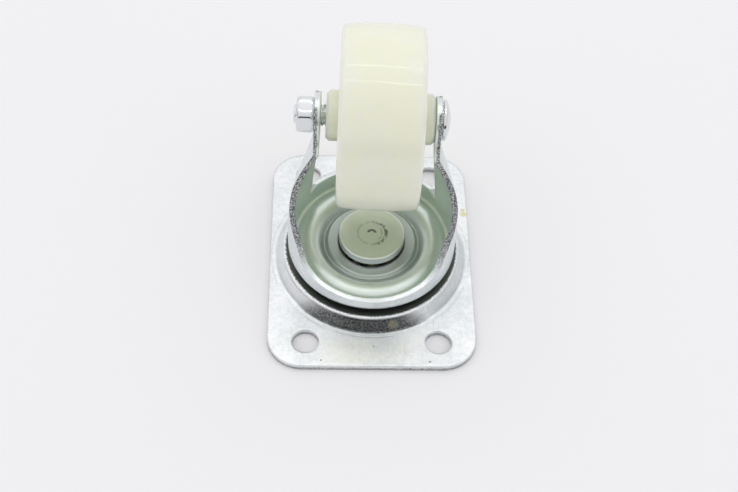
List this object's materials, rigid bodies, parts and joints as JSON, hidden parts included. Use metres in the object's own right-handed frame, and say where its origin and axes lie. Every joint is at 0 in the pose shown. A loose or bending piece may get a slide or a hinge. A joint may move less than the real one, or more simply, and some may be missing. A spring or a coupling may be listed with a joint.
{
  "type": "swivel plate castor",
  "caption": "Small swivel castor with a zinc plated steel mounting plate, drawn steel fork on a double ball race and a white nylon wheel.",
  "frame": {"origin": "centre of the mounting plate's hole pattern, on the face that meets the furniture, which is also the swivel axis", "axes": "+Z from the plate towards the wheel, +Y along the plate's longer side towards the trailing axle, +X along its shorter side towards the bolt's head"},
  "size_m": [0.048, 0.063, 0.0602],
  "materials": {
    "zinc_plate": "bright zinc plated pressed sheet",
    "zinc_fork": "bright zinc plated drawn sheet",
    "pin_steel": "zinc plated, faint turning marks",
    "bolt_steel": "bright zinc plated",
    "ball_steel": "hardened, polished",
    "nylon": "natural nylon, slightly translucent"
  },
  "bodies": {
    "plate": {"top_plate": "zinc_plate", "king_pin": "pin_steel"},
    "fork": {"fork": "zinc_fork", "axle_bolt": "bolt_steel", "axle_nut": "bolt_steel"},
    "wheel": {"wheel": "nylon"},
    "upper_race": {"upper_ball_01": "ball_steel", "upper_ball_02": "ball_steel", "upper_ball_03": "ball_steel", "upper_ball_04": "ball_steel", "upper_ball_05": "ball_steel", "upper_ball_06": "ball_steel", "upper_ball_07": "ball_steel", "upper_ball_08": "ball_steel", "upper_ball_09": "ball_steel", "upper_ball_10": "ball_steel", "upper_ball_11": "ball_steel", "upper_ball_12": "ball_steel", "upper_ball_13": "ball_steel", "upper_ball_14": "ball_steel", "upper_ball_15": "ball_steel", "upper_ball_16": "ball_steel", "upper_ball_17": "ball_steel", "upper_ball_18": "ball_steel", "upper_ball_19": "ball_steel", "upper_ball_20": "ball_steel", "upper_ball_21": "ball_steel", "upper_ball_22": "ball_steel"},
    "lower_race": {"lower_ball_01": "ball_steel", "lower_ball_02": "ball_steel", "lower_ball_03": "ball_steel", "lower_ball_04": "ball_steel", "lower_ball_05": "ball_steel", "lower_ball_06": "ball_steel", "lower_ball_07": "ball_steel", "lower_ball_08": "ball_steel", "lower_ball_09": "ball_steel", "lower_ball_10": "ball_steel", "lower_ball_11": "ball_steel"}
  },
  "joints": [
    {"name": "swivel", "type": "hinge", "parent": "plate", "child": "fork", "pos_m": [0, 0, 0], "axis": [0, 0, 1], "continuous": true},
    {"name": "wheel_spin", "type": "hinge", "parent": "fork", "child": "wheel", "pos_m": [0.00039, 0.00969, 0.0394], "axis": [0.9992, -0.0401, 0], "continuous": true},
    {"name": "upper_race_roll", "type": "hinge", "parent": "plate", "child": "upper_race", "pos_m": [0, 0, 0], "axis": [0, 0, 1], "continuous": true},
    {"name": "lower_race_roll", "type": "hinge", "parent": "plate", "child": "lower_race", "pos_m": [0, 0, 0], "axis": [0, 0, 1], "continuous": true}
  ],
  "couplings": [
    {"joint": "upper_race_roll", "follows": "swivel", "ratio": 0.5},
    {"joint": "lower_race_roll", "follows": "swivel", "ratio": 0.5}
  ]
}
